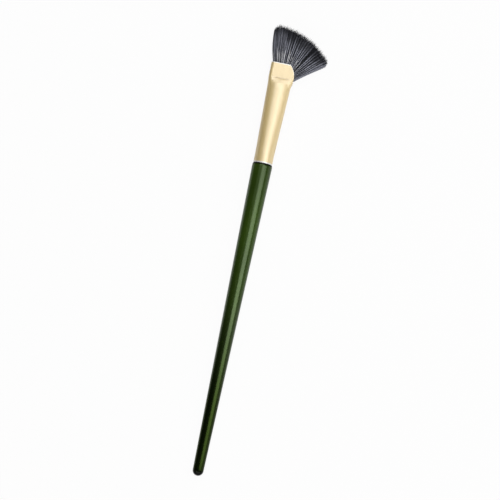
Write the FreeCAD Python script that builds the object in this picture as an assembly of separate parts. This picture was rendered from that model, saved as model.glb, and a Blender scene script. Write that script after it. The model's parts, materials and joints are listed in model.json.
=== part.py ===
# A nose contour brush: a turned handle, a pressed tube ferrule and a side-swept head of filaments.
# It lies as it comes to rest: on the side of its handle, rolled until the low corner of the fan
# touches the ground.
import FreeCAD
import Part
import math
import os

from FreeCAD import Placement, Rotation, Vector

# Millimetres throughout. The brush is drawn along +Y from its tail tip, with +X to the side that
# the fan opens to and +Z out of the front face, and is laid down at the end.

# Handle, turned from one piece of wood and lacquered
HANDLE_LENGTH = 122.2
TAIL_DIAMETER = 4.15
SHOULDER_STEP = 0.25
SHOULDER_CROWN = 2.0
SEAT_MARGIN = 0.04
TENON_LENGTH = 11.5
TENON_STRAIGHT = 3.2
TENON_TAPER = 0.55
TENON_CHAMFER = 0.5
TENON_FIT = 0.03

# Ferrule, one drawn aluminium tube: a round collar, a body that flattens, a shoulder and a flat mouth
FERRULE_LENGTH = 39.8
TUBE_DIAMETER = 7.3
TUBE_WALL = 0.35
COLLAR_LENGTH = 3.5
COLLAR_EDGE_CHAMFER = 0.12
CRIMP_FROM_MOUTH = 5.7
CRIMP_SHOULDER = 3.8
OVAL_WIDTH = 8.9
OVAL_THICKNESS = 5.3
OVAL_FOLD_RADIUS = 1.9
BODY_STEPS = 9
PRESSED_THICKNESS = 2.5
PRESSED_LEFT = 4.72
PRESSED_RIGHT = 5.55
# Each step: share of the shoulder's length, then shares of its widening, thinning and fold sharpening
SHOULDER_STEPS = ((0.35, 0.2, 0.16, 0.1), (0.6, 0.5, 0.45, 0.3), (0.82, 0.82, 0.74, 0.6))

# Corner cut through the right-hand fold, which lets the filaments sweep out sideways
CORNER_CUT_START = 2.75
CORNER_CUT_DEPTH = 5.4
CORNER_CUT_SIDE = 4.99
CORNER_NOSE_TRIM = 0.2
OVERRUN = 1.0

# Cured glue behind the filaments, and the bundle that the filaments make inside the ferrule
GLUE_FROM_TENON = 3.3
GLUE_LENGTH = 4.0
FILL_CLEARANCE = 0.04
MOUTH_RECESS = 0.15
ROOT_SIDE_CLEARANCE = 0.65
ROOT_FACE_CLEARANCE = 0.6
NECK_SIDE_CLEARANCE = 0.35
NECK_FACE_CLEARANCE = 1.05
BUNDLE_CHAMFER = 0.7
BUNDLE_MARGIN = 0.15

# Trimmed line of the filament tips: how far each of its corners is out to the side and beyond the mouth,
# and how far each run between them bulges
TIP_LEFT_SIDE = 5.95
TIP_LEFT_REACH = 11.6
TIP_CROWN_SIDE = 3.7
TIP_CROWN_REACH = 14.45
TIP_CORNER_SIDE = 16.2
TIP_CORNER_REACH = 4.85
TIP_LOW_SIDE = 15.85
TIP_LOW_REACH = 2.85
LEFT_BULGE = 0.75
CROWN_BULGE = 2.1
CORNER_BULGE = 0.4

# Locks of filaments: columns across the fan, in layers through its thickness
LOCK_COLUMNS = 26
LOCK_LAYERS = 3
LOCK_EXIT_LEFT = 4.22
LOCK_EXIT_SIDE = 6.25
OUTER_LAYER_TRIM = 0.55
HEAD_THICKNESS = 3.5
SIDE_THINNING = 0.35
LEFT_BOW = 0.4
TIP_CROWDING = 1.1
OUTER_LAYER_REACH = 0.95
TIP_UNEVENNESS = 0.07
GOLDEN_TURN = 0.618
LOCK_FLAT = 0.45
LAYER_FILL = 0.94
# Each station: share of the lock's run, share of the head's swelling, share of its column that it fills
LOCK_STATIONS = (
    (-0.05, -0.15, 0.86),
    (0.3, 0.72, 0.95),
    (0.64, 1.0, 0.93),
    (0.87, 0.92, 0.74),
    (1.0, 0.7, 0.2),
)

TUBE_RADIUS = TUBE_DIAMETER / 2
TAIL_RADIUS = TAIL_DIAMETER / 2
SHOULDER_RADIUS = TUBE_RADIUS + SHOULDER_STEP
PRESSED_HALF = PRESSED_THICKNESS / 2
MOUTH_Y = HANDLE_LENGTH + FERRULE_LENGTH
CRIMP_Y = MOUTH_Y - CRIMP_FROM_MOUTH
OVAL_Y = CRIMP_Y - CRIMP_SHOULDER
ROOT_Y = HANDLE_LENGTH + TENON_LENGTH + GLUE_FROM_TENON + GLUE_LENGTH
# Half angle of the cone that touches the round tail and runs up to the shoulder
TAPER = math.atan2(SHOULDER_RADIUS, HANDLE_LENGTH - TAIL_RADIUS) - math.asin(
    TAIL_RADIUS / math.hypot(SHOULDER_RADIUS, HANDLE_LENGTH - TAIL_RADIUS))


def mix(start, end, share):
    """The value that lies the given share of the way from start to end."""
    return start + (end - start) * share


def line(start, end):
    """A straight edge."""
    return Part.LineSegment(start, end).toShape()


def arc(start, middle, end):
    """An arc edge through three points."""
    return Part.Arc(start, middle, end).toShape()


def bulged(start, end, bulge):
    """An arc edge in the XY plane that stands out by bulge to the left of its chord."""
    chord = end - start
    normal = Vector(-chord.y, chord.x, 0).normalize()
    return arc(start, (start + end) * 0.5 + normal * bulge, end)


def point_along(edges, share):
    """The point at a share of the length of a run of edges."""
    distance = share * sum(edge.Length for edge in edges)
    for edge in edges[:-1]:
        if distance <= edge.Length:
            return edge.valueAt(edge.getParameterByLength(distance))
        distance -= edge.Length
    last = edges[-1]
    return last.valueAt(last.getParameterByLength(min(distance, last.Length)))


def handle():
    """The handle: a round tail, a straight taper, a crowned shoulder and the tenon in the ferrule."""
    tenon = TUBE_RADIUS - TUBE_WALL - TENON_FIT
    tenon_end = tenon - TENON_TAPER
    tip_y = HANDLE_LENGTH + TENON_LENGTH
    seat = Vector(TUBE_RADIUS + SEAT_MARGIN, HANDLE_LENGTH, 0)
    side = Vector(math.sin(TAPER), math.cos(TAPER), 0)
    outward = Vector(math.cos(TAPER), -math.sin(TAPER), 0)
    tail_centre = Vector(0, TAIL_RADIUS, 0)
    tail_end = tail_centre + outward * TAIL_RADIUS
    half_turn = (math.pi / 2 - TAPER) / 2
    tail_middle = tail_centre + Vector(math.sin(half_turn), -math.cos(half_turn), 0) * TAIL_RADIUS
    # The crown's arc touches the taper and ends on the rim of the shoulder's flat seat.
    depth = (tail_end - seat).dot(outward)
    run = (seat - tail_end).dot(side)
    crown_start = tail_end + side * (run - math.sqrt(SHOULDER_CROWN ** 2 - (SHOULDER_CROWN - depth) ** 2))
    crown_centre = crown_start - outward * SHOULDER_CROWN
    crown_middle = crown_centre + (crown_start + seat - crown_centre * 2).normalize() * SHOULDER_CROWN
    corners = [
        seat,
        Vector(tenon, HANDLE_LENGTH, 0),
        Vector(tenon, HANDLE_LENGTH + TENON_STRAIGHT, 0),
        Vector(tenon_end, tip_y - TENON_CHAMFER, 0),
        Vector(tenon_end - TENON_CHAMFER, tip_y, 0),
        Vector(0, tip_y, 0),
        Vector(0, 0, 0),
    ]
    edges = [
        arc(Vector(0, 0, 0), tail_middle, tail_end),
        line(tail_end, crown_start),
        arc(crown_start, crown_middle, seat),
    ]
    edges += [line(start, end) for start, end in zip(corners, corners[1:])]
    return Part.Face(Part.Wire(edges)).revolve(Vector(0, 0, 0), Vector(0, 1, 0), 360)


def face_turn(reach, half_thickness, fold_radius):
    """Half the angle that a section's upper face turns through between its two folds."""
    spare = half_thickness - fold_radius
    if spare < 1e-6:
        return 0.0
    face_radius = (reach ** 2 + half_thickness ** 2 - fold_radius ** 2) / (2 * spare)
    return math.atan2(reach, face_radius - half_thickness)


def oval(y, left, right, half_thickness, fold_radius, turn):
    """A section of the tube across Y: an upper and a lower face, joined smoothly by two round folds."""
    middle = (right - left) / 2
    half_width = (right + left) / 2
    reach = half_width - fold_radius
    join_x = reach + fold_radius * math.sin(turn)
    join_z = fold_radius * math.cos(turn)
    upper_left = Vector(middle - join_x, y, join_z)
    upper_right = Vector(middle + join_x, y, join_z)
    lower_left = Vector(middle - join_x, y, -join_z)
    lower_right = Vector(middle + join_x, y, -join_z)
    if turn > 0:
        top = arc(upper_left, Vector(middle, y, half_thickness), upper_right)
        bottom = arc(lower_right, Vector(middle, y, -half_thickness), lower_left)
    else:
        top = line(upper_left, upper_right)
        bottom = line(lower_right, lower_left)
    right_fold = arc(upper_right, Vector(middle + half_width, y, 0), lower_right)
    left_fold = arc(lower_left, Vector(middle - half_width, y, 0), upper_left)
    return Part.Wire([top, right_fold, bottom, left_fold])


def tube_form(inset, start_y, end_y):
    """The formed tube as a solid, taken in by inset all round and kept from start_y to end_y."""
    oval_half = OVAL_WIDTH / 2
    oval_turn = face_turn(oval_half - OVAL_FOLD_RADIUS, OVAL_THICKNESS / 2, OVAL_FOLD_RADIUS)

    def section(y, left, right, half_thickness, fold_radius, turn):
        return oval(y, left - inset, right - inset, half_thickness - inset, fold_radius - inset, turn)

    # The round collar opens into the oval along straight lines, so every section between them is a mix.
    body = []
    for index in range(BODY_STEPS + 1):
        share = index / BODY_STEPS
        half_width = mix(TUBE_RADIUS, oval_half, share)
        half_thickness = mix(TUBE_RADIUS, OVAL_THICKNESS / 2, share)
        fold_radius = mix(TUBE_RADIUS, OVAL_FOLD_RADIUS, share)
        y = mix(HANDLE_LENGTH + COLLAR_LENGTH, OVAL_Y, share)
        body.append(section(y, half_width, half_width, half_thickness, fold_radius, oval_turn))
    shoulder = body[-1:]
    for share, widening, thinning, sharpening in SHOULDER_STEPS:
        left = mix(oval_half, PRESSED_LEFT, widening)
        right = mix(oval_half, PRESSED_RIGHT, widening)
        half_thickness = mix(OVAL_THICKNESS / 2, PRESSED_HALF, thinning)
        fold_radius = mix(OVAL_FOLD_RADIUS, PRESSED_HALF, sharpening)
        turn = face_turn((left + right) / 2 - fold_radius, half_thickness, fold_radius)
        shoulder.append(section(mix(OVAL_Y, CRIMP_Y, share), left, right, half_thickness, fold_radius, turn))
    pressed = [section(y, PRESSED_LEFT, PRESSED_RIGHT, PRESSED_HALF, PRESSED_HALF, 0.0)
               for y in (CRIMP_Y, MOUTH_Y + OVERRUN)]
    shoulder.append(pressed[0])
    collar = Part.makeCylinder(TUBE_RADIUS - inset, COLLAR_LENGTH + OVERRUN,
                               Vector(0, HANDLE_LENGTH - OVERRUN, 0), Vector(0, 1, 0))
    form = collar.fuse([Part.makeLoft(sections, True, True) for sections in (body, shoulder, pressed)])
    width = 2 * OVAL_WIDTH
    window = Part.makeBox(2 * width, end_y - start_y, 2 * width, Vector(-width, start_y, -width))
    return form.common(window).removeSplitter()


def mouth_waste(inset):
    """What is trimmed off the tube: all beyond the mouth and the corner cut, both taken in by inset."""
    radius = ((CORNER_CUT_SIDE - CORNER_CUT_START) ** 2 + CORNER_CUT_DEPTH ** 2) / (
        2 * (CORNER_CUT_SIDE - CORNER_CUT_START))
    centre = Vector(CORNER_CUT_SIDE - radius, MOUTH_Y - CORNER_CUT_DEPTH, 0)
    radius -= inset
    mouth_y = MOUTH_Y - inset
    nose = Vector(centre.x + math.sqrt(radius ** 2 - (mouth_y - centre.y) ** 2), mouth_y, 0)
    nose_turn = math.atan2(nose.y - centre.y, nose.x - centre.x)

    def on_cut(turn):
        return centre + Vector(math.cos(turn), math.sin(turn), 0) * radius

    straight = Vector(nose.x - CORNER_NOSE_TRIM, mouth_y, 0)
    curved = on_cut(nose_turn - CORNER_NOSE_TRIM / radius)
    softened = nose * 0.5 + (straight + curved) * 0.25
    cut_end = on_cut(0)
    far = 3 * OVAL_WIDTH
    side_end = Vector(cut_end.x, OVAL_Y, 0)
    corners = [
        side_end,
        Vector(far, OVAL_Y, 0),
        Vector(far, MOUTH_Y + far, 0),
        Vector(-far, MOUTH_Y + far, 0),
        Vector(-far, mouth_y, 0),
        straight,
    ]
    edges = [
        arc(straight, softened, curved),
        arc(curved, on_cut(nose_turn / 2), cut_end),
        line(cut_end, side_end),
    ]
    edges += [line(start, end) for start, end in zip(corners, corners[1:])]
    waste = Part.Face(Part.Wire(edges)).extrude(Vector(0, 0, 2 * far))
    waste.translate(Vector(0, 0, -far))
    return waste


def ferrule():
    """The ferrule: the formed tube with its bore, its broken rim, the open mouth and the corner cut."""
    outside = tube_form(0, HANDLE_LENGTH, MOUTH_Y + OVERRUN)
    rim = [edge for edge in outside.Edges if edge.BoundBox.YMax < HANDLE_LENGTH + COLLAR_EDGE_CHAMFER]
    outside = outside.makeChamfer(COLLAR_EDGE_CHAMFER, rim)
    bore = tube_form(TUBE_WALL, HANDLE_LENGTH - OVERRUN / 2, MOUTH_Y + OVERRUN)
    return outside.cut(bore).cut(mouth_waste(0))


def glue_plug():
    """The cured glue that fills the tube behind the filaments and holds their roots."""
    return tube_form(TUBE_WALL + FILL_CLEARANCE, ROOT_Y - GLUE_LENGTH, ROOT_Y)


def exit_line(trim):
    """The line that the filaments leave the ferrule by, from its left fold to the corner cut's foot."""
    radius = ((CORNER_CUT_SIDE - CORNER_CUT_START) ** 2 + CORNER_CUT_DEPTH ** 2) / (
        2 * (CORNER_CUT_SIDE - CORNER_CUT_START))
    centre = Vector(CORNER_CUT_SIDE - radius, -CORNER_CUT_DEPTH, 0)
    radius -= MOUTH_RECESS
    rise = CORNER_CUT_DEPTH - MOUTH_RECESS
    nose = Vector(centre.x + math.sqrt(radius ** 2 - rise ** 2), -MOUTH_RECESS, 0)
    half_turn = math.atan2(rise, nose.x - centre.x) / 2
    half_way = centre + Vector(math.cos(half_turn), math.sin(half_turn), 0) * radius
    foot = centre + Vector(radius, 0, 0)
    return [
        line(Vector(trim - LOCK_EXIT_LEFT, -MOUTH_RECESS, 0), nose),
        arc(nose, half_way, foot),
        line(foot, Vector(foot.x, trim - LOCK_EXIT_SIDE, 0)),
    ]


def tip_line():
    """The line that the tips are trimmed to, from the left corner over the crown to the low corner."""
    left = Vector(-TIP_LEFT_SIDE, TIP_LEFT_REACH, 0)
    crown = Vector(-TIP_CROWN_SIDE, TIP_CROWN_REACH, 0)
    corner = Vector(TIP_CORNER_SIDE, TIP_CORNER_REACH, 0)
    low = Vector(TIP_LOW_SIDE, TIP_LOW_REACH, 0)
    return [
        bulged(left, crown, LEFT_BULGE),
        bulged(crown, corner, CROWN_BULGE),
        bulged(corner, low, CORNER_BULGE),
    ]


def opening_half(x):
    """Half the clear thickness of the pressed tube at x, which narrows to a half inside its folds."""
    radius = PRESSED_HALF - TUBE_WALL - FILL_CLEARANCE
    overhang = max(0.0, x - (PRESSED_RIGHT - PRESSED_HALF), -x - (PRESSED_LEFT - PRESSED_HALF))
    return math.sqrt(max(radius ** 2 - overhang ** 2, (radius / 2) ** 2))


def flat_sided(sections):
    """A solid through similar straight-sided sections, with a flat side between each two edges."""
    faces = [Part.Face(Part.makePolygon(section + section[:1])) for section in (sections[0], sections[-1])]
    for near, far in zip(sections, sections[1:]):
        for index in range(len(near)):
            corners = [near[index - 1], near[index], far[index], far[index - 1], near[index - 1]]
            faces.append(Part.Face(Part.makePolygon(corners)))
    shell = Part.Shell(faces)
    shell.sewShape()
    solid = Part.Solid(shell)
    if solid.Volume < 0:
        solid.reverse()
    return solid


def chamfered(y, left, right, half_thickness):
    """The corners of a flat eight-sided section of the bundle across Y."""
    near = half_thickness - BUNDLE_CHAMFER
    return [Vector(x, y, z) for x, z in (
        (-left, -near), (-left, near), (BUNDLE_CHAMFER - left, half_thickness),
        (right - BUNDLE_CHAMFER, half_thickness), (right, near), (right, -near),
        (right - BUNDLE_CHAMFER, -half_thickness), (BUNDLE_CHAMFER - left, -half_thickness))]


def bundle():
    """The filaments inside the ferrule: gathered at their roots and pressed flat through the mouth."""
    inset = TUBE_WALL + FILL_CLEARANCE
    half = PRESSED_HALF - inset
    root_side = OVAL_WIDTH / 2 - TUBE_WALL - ROOT_SIDE_CLEARANCE
    neck_side = OVAL_WIDTH / 2 - TUBE_WALL - NECK_SIDE_CLEARANCE
    gathered = flat_sided([
        chamfered(ROOT_Y, root_side, root_side, OVAL_THICKNESS / 2 - TUBE_WALL - ROOT_FACE_CLEARANCE),
        chamfered(OVAL_Y, neck_side, neck_side, OVAL_THICKNESS / 2 - TUBE_WALL - NECK_FACE_CLEARANCE),
        chamfered(CRIMP_Y + OVERRUN, PRESSED_LEFT - inset - BUNDLE_MARGIN,
                  PRESSED_RIGHT - inset - BUNDLE_MARGIN, half - BUNDLE_MARGIN / 2),
    ])
    pressed = Part.makeLoft([oval(y, PRESSED_LEFT - inset, PRESSED_RIGHT - inset, half, half, 0.0)
                             for y in (CRIMP_Y, MOUTH_Y)], True, True)
    return pressed.cut(mouth_waste(MOUTH_RECESS)).fuse(gathered)


def lock(middle, width, layer, reach, exits, tips):
    """One lock of filaments: six-sided sections of one shape, from inside the mouth to the lock's tip."""
    def place(share, run):
        point = mix(point_along(exits, share), point_along(tips, share ** TIP_CROWDING), run)
        point.x -= LEFT_BOW * (1 - share) ** 2 * 4 * max(run, 0.0) * (1 - run)
        return point

    along = (place(middle, 1.0) - place(middle, 0.0)).normalize()
    across = Vector(along.y, -along.x, 0)
    root = place(middle, 0.0).x
    root_width = (place(middle + width / 2, 0.0) - place(middle - width / 2, 0.0)).dot(across)
    root_half = min(opening_half(root - root_width / 2), opening_half(root + root_width / 2 + MOUTH_RECESS))
    full_half = HEAD_THICKNESS / 2 * (1 - SIDE_THINNING * abs(2 * middle - 1) ** 3)
    sizes = []
    for run, swelling, fill in LOCK_STATIONS:
        spread = (place(middle + width / 2, run) - place(middle - width / 2, run)).dot(across) * fill
        sizes.append((place(middle, run * reach), spread, mix(root_half, full_half, swelling)))
    # A lock keeps its proportions all along, set by the place where its layer is thinnest for its breadth.
    slenderness = min(half * 2 / LOCK_LAYERS / spread for _, spread, half in sizes[:-1])
    sections = []
    for centre, spread, half in sizes:
        height = spread * slenderness * LAYER_FILL
        lift = layer * (half - half / LOCK_LAYERS)
        corners = ((-1, 0), (-LOCK_FLAT, 1), (LOCK_FLAT, 1), (1, 0), (LOCK_FLAT, -1), (-LOCK_FLAT, -1))
        sections.append([centre + across * (spread / 2 * over) + Vector(0, MOUTH_Y, lift + height / 2 * up)
                         for over, up in corners])
    return flat_sided(sections)


def bristle_tuft():
    """The filament head: the bundle inside the ferrule and the locks that fan out of it, in one piece."""
    tips = tip_line()
    locks = []
    for index in range(LOCK_LAYERS):
        layer = index - (LOCK_LAYERS - 1) / 2
        outer = abs(layer) > 0
        exits = exit_line(OUTER_LAYER_TRIM if outer else 0.0)
        # The outer layers' locks lie over the joins between the middle layer's.
        columns = LOCK_COLUMNS - 1 if outer else LOCK_COLUMNS
        for column in range(columns):
            uneven = (column * GOLDEN_TURN + index / LOCK_LAYERS) % 1
            reach = (OUTER_LAYER_REACH if outer else 1.0) * (1 - TIP_UNEVENNESS * uneven)
            locks.append(lock((column + 0.5) / columns, 1 / columns, layer, reach, exits, tips))
    return bundle().fuse(locks)


def lie_down(shapes):
    """Lay the brush on its taper, roll it until the fan touches the ground, and centre it."""
    turns = []
    for vertex in shapes["bristle_tuft"].Vertexes:
        if vertex.Z < 0 < vertex.X and vertex.Y > MOUTH_Y:
            drop = (TAIL_RADIUS + (vertex.Y - TAIL_RADIUS) * math.sin(TAPER)) / math.cos(TAPER)
            span = math.hypot(vertex.X, vertex.Z)
            if span > drop:
                turns.append(math.asin(drop / span) - math.atan2(-vertex.Z, vertex.X))
    roll = Rotation(Vector(0, 1, 0), math.degrees(min(turns)))
    pitch = Rotation(Vector(1, 0, 0), math.degrees(TAPER))
    turned = pitch.multiply(roll)
    tail_centre = turned.multVec(Vector(0, TAIL_RADIUS, 0))
    laid = Placement(Vector(0, 0, TAIL_RADIUS - tail_centre.z), turned)
    whole = Part.makeCompound(list(shapes.values()))
    whole.Placement = laid
    box = whole.optimalBoundingBox(False, False)
    laid.Base = laid.Base - Vector((box.XMin + box.XMax) / 2, (box.YMin + box.YMax) / 2, 0)
    for shape in shapes.values():
        shape.Placement = laid
    return shapes


def main():
    """Build every node, lay the brush down and write one file for each node."""
    shapes = lie_down({
        "handle": handle(),
        "ferrule": ferrule(),
        "glue_plug": glue_plug(),
        "bristle_tuft": bristle_tuft(),
    })
    os.makedirs("parts", exist_ok=True)
    for name, shape in shapes.items():
        shape.exportStep(f"parts/{name}.step")


main()
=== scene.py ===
"""A nose contour brush: a lacquered handle, a gold ferrule and a side-swept fan of dark filaments.

Lengths inside the classes are millimetres in the brush's own axes: x to the side that the fan opens
to, y from the tail tip to the head, z out of the front face. BrushAxes lays them into the row frame.
"""

import json
import logging
import math
from dataclasses import dataclass, field
from enum import Enum
from typing import ClassVar

import bpy
import numpy as np
from mathutils import Matrix, Vector

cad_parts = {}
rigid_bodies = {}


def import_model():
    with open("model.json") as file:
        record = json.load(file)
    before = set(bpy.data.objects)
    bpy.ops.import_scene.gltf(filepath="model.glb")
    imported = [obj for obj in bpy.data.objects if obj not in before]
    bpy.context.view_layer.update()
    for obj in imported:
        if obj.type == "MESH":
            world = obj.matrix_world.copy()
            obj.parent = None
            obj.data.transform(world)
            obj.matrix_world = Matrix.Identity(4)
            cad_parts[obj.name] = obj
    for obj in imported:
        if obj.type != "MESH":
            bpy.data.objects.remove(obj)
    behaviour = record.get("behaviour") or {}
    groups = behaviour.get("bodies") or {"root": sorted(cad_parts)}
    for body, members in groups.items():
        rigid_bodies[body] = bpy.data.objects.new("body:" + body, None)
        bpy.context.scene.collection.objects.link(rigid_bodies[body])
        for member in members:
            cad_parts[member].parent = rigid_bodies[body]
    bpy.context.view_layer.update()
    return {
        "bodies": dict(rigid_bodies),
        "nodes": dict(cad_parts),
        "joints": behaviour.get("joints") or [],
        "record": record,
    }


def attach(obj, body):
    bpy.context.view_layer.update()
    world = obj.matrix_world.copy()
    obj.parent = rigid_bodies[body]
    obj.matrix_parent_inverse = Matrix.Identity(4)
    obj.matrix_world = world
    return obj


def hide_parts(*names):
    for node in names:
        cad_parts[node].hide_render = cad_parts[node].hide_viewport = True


LOG = logging.getLogger("contour_brush")
MM = 0.001
BODY = "root"
Array = np.ndarray
Socket = bpy.types.NodeSocket


class Layer(Enum):
    """The layers of the fan that are built as a piece each, from its back face to its front face."""

    BACK = "back"
    CORE = "core"
    FRONT = "front"


def mix(start: Array, end: Array, share: Array) -> Array:
    """The value that lies the given share of the way from start to end."""
    return start + (end - start) * share


def ease(share: Array) -> Array:
    """A smooth step from 0 to 1: three times the square less twice the cube of the clipped share."""
    clipped = np.clip(share, 0.0, 1.0)
    return clipped * clipped * (3.0 - 2.0 * clipped)


def through_knots(at: Array, knots: tuple, values: tuple) -> Array:
    """A smooth curve through knots, a cubic on each span with the slopes of its neighbours' chords.

    Args:
        at: where the curve is wanted.
        knots: rising positions of the knots.
        values: the curve's value at each knot.

    Returns:
        The curve's values, held level beyond the outer knots.
    """
    xs, ys = np.asarray(knots, float), np.asarray(values, float)
    slopes = np.gradient(ys, xs)
    where = np.clip(at, xs[0], xs[-1])
    span = np.clip(np.searchsorted(xs, where, side="right") - 1, 0, len(xs) - 2)
    width = xs[span + 1] - xs[span]
    t = (where - xs[span]) / width
    square, cube = t * t, t * t * t
    return ((2 * cube - 3 * square + 1) * ys[span] + (cube - 2 * square + t) * width * slopes[span]
            + (3 * square - 2 * cube) * ys[span + 1] + (cube - square) * width * slopes[span + 1])


@dataclass(frozen=True)
class BrushAxes:
    """The brush's own axes in the row frame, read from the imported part."""

    origin: Array
    across: Array
    along: Array
    up: Array

    MOUTH_LENGTH: ClassVar[float] = 4.5
    SEARCHES: ClassVar[int] = 5
    TRIALS: ClassVar[int] = 721
    NARROWING: ClassVar[float] = 60.0

    @classmethod
    def from_part(cls, frame: dict) -> "BrushAxes":
        """Find the axes: along from the collar's mount, up as the direction the mouth is thinnest in.

        The thinnest direction is the one of many trial turns with the least spread of corners, searched
        again round the best, ever more finely.


        Returns:
            The axes, with the origin on the tail tip.
        """
        mount = frame["record"]["mounts"][0]
        along = -np.asarray(mount["axis"], float)
        along /= np.linalg.norm(along)
        middle = np.asarray(mount["pos_m"], float)
        handle, ferrule = (cls.corners(frame["nodes"][name]) for name in ("handle", "ferrule"))
        tail = (handle @ along).min()
        origin = middle + along * (tail - middle @ along)
        station = ferrule @ along
        mouth = ferrule[station > station.max() - cls.MOUTH_LENGTH * MM]
        first = np.cross(along, (0.0, 0.0, 1.0))
        first /= np.linalg.norm(first)
        second = np.cross(first, along)
        flat = np.stack((mouth @ first, mouth @ second))
        angle, reach = 0.0, math.pi / 2
        for _ in range(cls.SEARCHES):
            turns = angle + np.linspace(-reach, reach, cls.TRIALS)
            spread = np.ptp(np.cos(turns)[:, None] * flat[0] + np.sin(turns)[:, None] * flat[1], axis=1)
            angle, reach = turns[spread.argmin()], reach / cls.NARROWING
        up = math.cos(angle) * first + math.sin(angle) * second
        up *= np.sign(up[2])
        return cls(origin, np.cross(along, up), along, up)

    @staticmethod
    def corners(node: bpy.types.Object) -> Array:
        """All corners of a node's mesh, in metres.

        Args:
            node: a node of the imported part.

        Returns:
            Points, n by 3.
        """
        flat = np.empty(len(node.data.vertices) * 3, np.float32)
        node.data.vertices.foreach_get("co", flat)
        return flat.reshape(-1, 3).astype(float)

    def place(self, points: Array) -> Array:
        """Points in brush millimetres, any shape ending in 3, laid into the row frame in metres."""
        return self.origin + points @ np.stack((self.across, self.along, self.up)) * MM

    def direction(self, sideways: float, lengthways: float) -> Array:
        """A direction turned from up by the angles in degrees: towards across, then towards along.

        Args:
            sideways: degrees towards across.
            lengthways: degrees towards along.

        Returns:
            The direction, of length 1.
        """
        side, length = math.radians(sideways), math.radians(lengthways)
        turned = math.cos(side) * self.up + math.sin(side) * self.across
        return math.cos(length) * turned + math.sin(length) * self.along


class Mesher:
    """Turns whole arrays of points into mesh objects that stay at the origin."""

    @staticmethod
    def build(name: str, points: Array, faces: Array,
              extra: Array | None = None) -> bpy.types.Object:
        """Make one smooth-shaded object from points and equal-sided faces.

        Args:
            name: the piece's name.
            points: corners in metres, n by 3.
            faces: corner numbers, one row for each face.
            extra: more faces, with another number of corners.

        Returns:
            The object, linked to the scene.
        """
        groups = [faces] if extra is None else [faces, extra]
        loops = np.concatenate([group.ravel() for group in groups]).astype(np.int32)
        sizes = np.concatenate([np.full(len(group), group.shape[1]) for group in groups])
        starts = np.concatenate(([0], np.cumsum(sizes)[:-1])).astype(np.int32)
        mesh = bpy.data.meshes.new(name)
        mesh.vertices.add(len(points))
        mesh.vertices.foreach_set("co", np.ascontiguousarray(points, np.float32).ravel())
        mesh.loops.add(len(loops))
        mesh.loops.foreach_set("vertex_index", loops)
        mesh.polygons.add(len(sizes))
        mesh.polygons.foreach_set("loop_start", starts)
        mesh.polygons.foreach_set("use_smooth", np.ones(len(sizes), bool))
        mesh.update(calc_edges=True)
        mesh.validate()
        piece = bpy.data.objects.new(name, mesh)
        bpy.context.scene.collection.objects.link(piece)
        return piece

    @staticmethod
    def loops(rows: int, columns: int, close_rows: bool) -> Array:
        """The four-sided faces of a grid whose columns close on themselves.

        Args:
            rows: how many rows of points.
            columns: how many points in a row.
            close_rows: whether the last row joins the first.

        Returns:
            Corner numbers, one row of four for each face.
        """
        row = np.arange(rows if close_rows else rows - 1)[:, None]
        column = np.arange(columns)[None, :]
        onward, beside = (row + 1) % rows, (column + 1) % columns
        here, there = row * columns, onward * columns
        corners = (here + column, here + beside, there + beside, there + column)
        return np.stack(corners, -1).reshape(-1, 4)

    @staticmethod
    def turned(radius: Array, height: Array, columns: int) -> Array:
        """A profile turned about z: each ring is its radius times cosine and sine, at its height.

        Args:
            radius: one for each ring.
            height: one for each ring.
            columns: points in a ring.

        Returns:
            Points, rings by columns by 3.
        """
        turn = np.linspace(0, 2 * math.pi, columns, endpoint=False)
        radius, height = radius[:, None], np.repeat(height[:, None], columns, 1)
        return np.stack((radius * np.cos(turn), radius * np.sin(turn), height), -1)

    @staticmethod
    def fan(centre: int, first: int, columns: int) -> Array:
        """The triangles from a centre's corner number to a ring that starts at the first one."""
        here = first + np.arange(columns)
        return np.stack((np.full(columns, centre), here, np.roll(here, -1)), 1)

    @staticmethod
    def attribute(piece: bpy.types.Object, name: str, values: Array) -> None:
        """Store one number for each point of a piece under a name that its material reads."""
        layer = piece.data.attributes.new(name, "FLOAT", "POINT")
        layer.data.foreach_set("value", np.ascontiguousarray(values, np.float32).ravel())


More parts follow.
